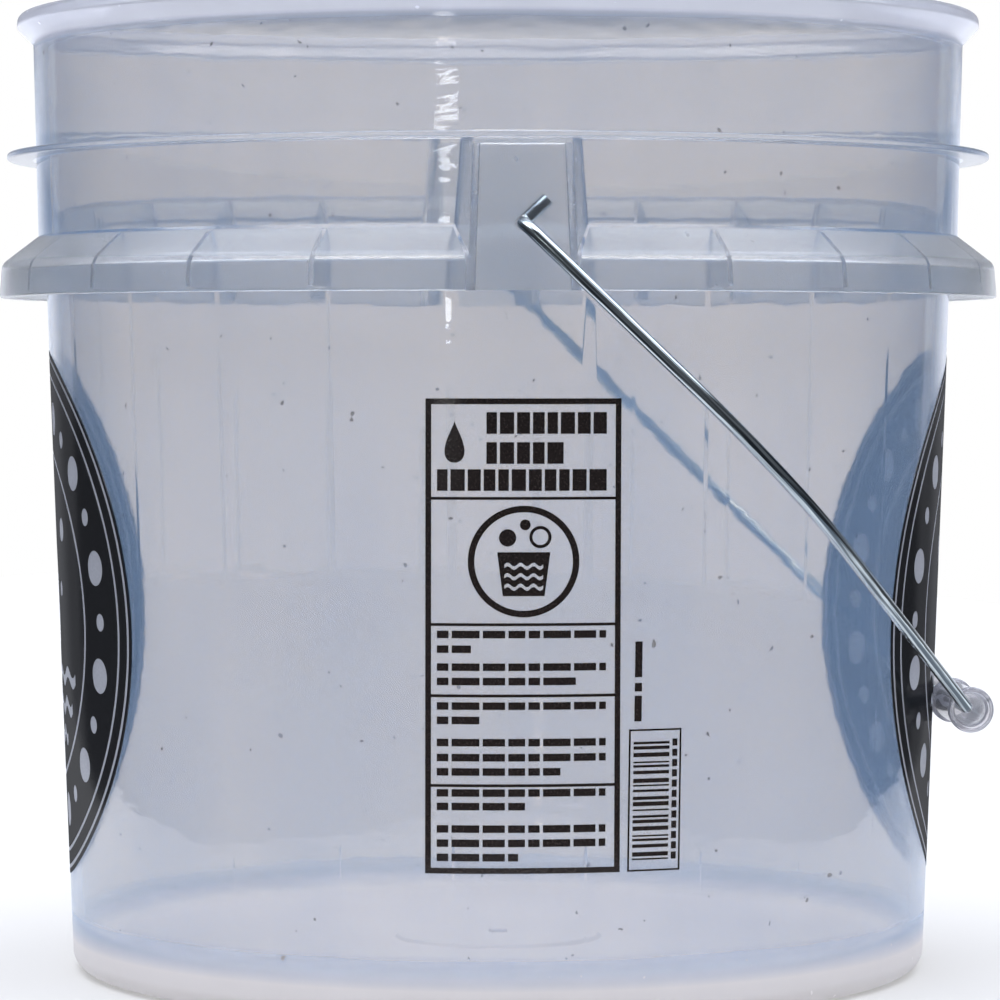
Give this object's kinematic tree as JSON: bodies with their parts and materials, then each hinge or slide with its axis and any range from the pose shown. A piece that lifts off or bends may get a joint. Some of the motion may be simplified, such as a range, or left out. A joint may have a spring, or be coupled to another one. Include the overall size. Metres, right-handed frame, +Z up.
{
  "type": "wash bucket",
  "caption": "Clear moulded utility pail with a thick lip, a rib, a skirted shoulder, a swinging wire bail with a loose roller grip, and printed panels.",
  "frame": {"origin": "middle of the base, on the surface that the pail stands on", "axes": "+Z up along the pail's axis; the bail pivots on an axis parallel to Y through the two ears and hangs on the +X side; the notice panel faces -Y"},
  "size_m": [0.3054, 0.328, 0.2908],
  "materials": {
    "clear_plastic": "translucent moulded polypropylene, faintly blue, glossy outside",
    "zinc_wire": "bright zinc-plated drawn wire",
    "clear_grip": "clear moulded plastic",
    "black_ink": "glossy black screen print",
    "notice_ink": "dark brown-black screen print"
  },
  "bodies": {
    "pail": {"pail_body": "clear_plastic", "emblem_right": "black_ink", "emblem_left": "black_ink", "notice_panel": "notice_ink", "code_panel": "notice_ink"},
    "bail": {"bail_wire": "zinc_wire"},
    "roller": {"grip": "clear_grip"}
  },
  "joints": [
    {"name": "bail_swing", "type": "hinge", "parent": "pail", "child": "bail", "pos_m": [0, 0, 0.2231], "axis": [0, -1, 0], "range_deg": [0, 270.4]},
    {"name": "grip_spin", "type": "hinge", "parent": "bail", "child": "roller", "pos_m": [0.1413, 0, 0.0804], "axis": [0, 1, 0], "continuous": true}
  ]
}
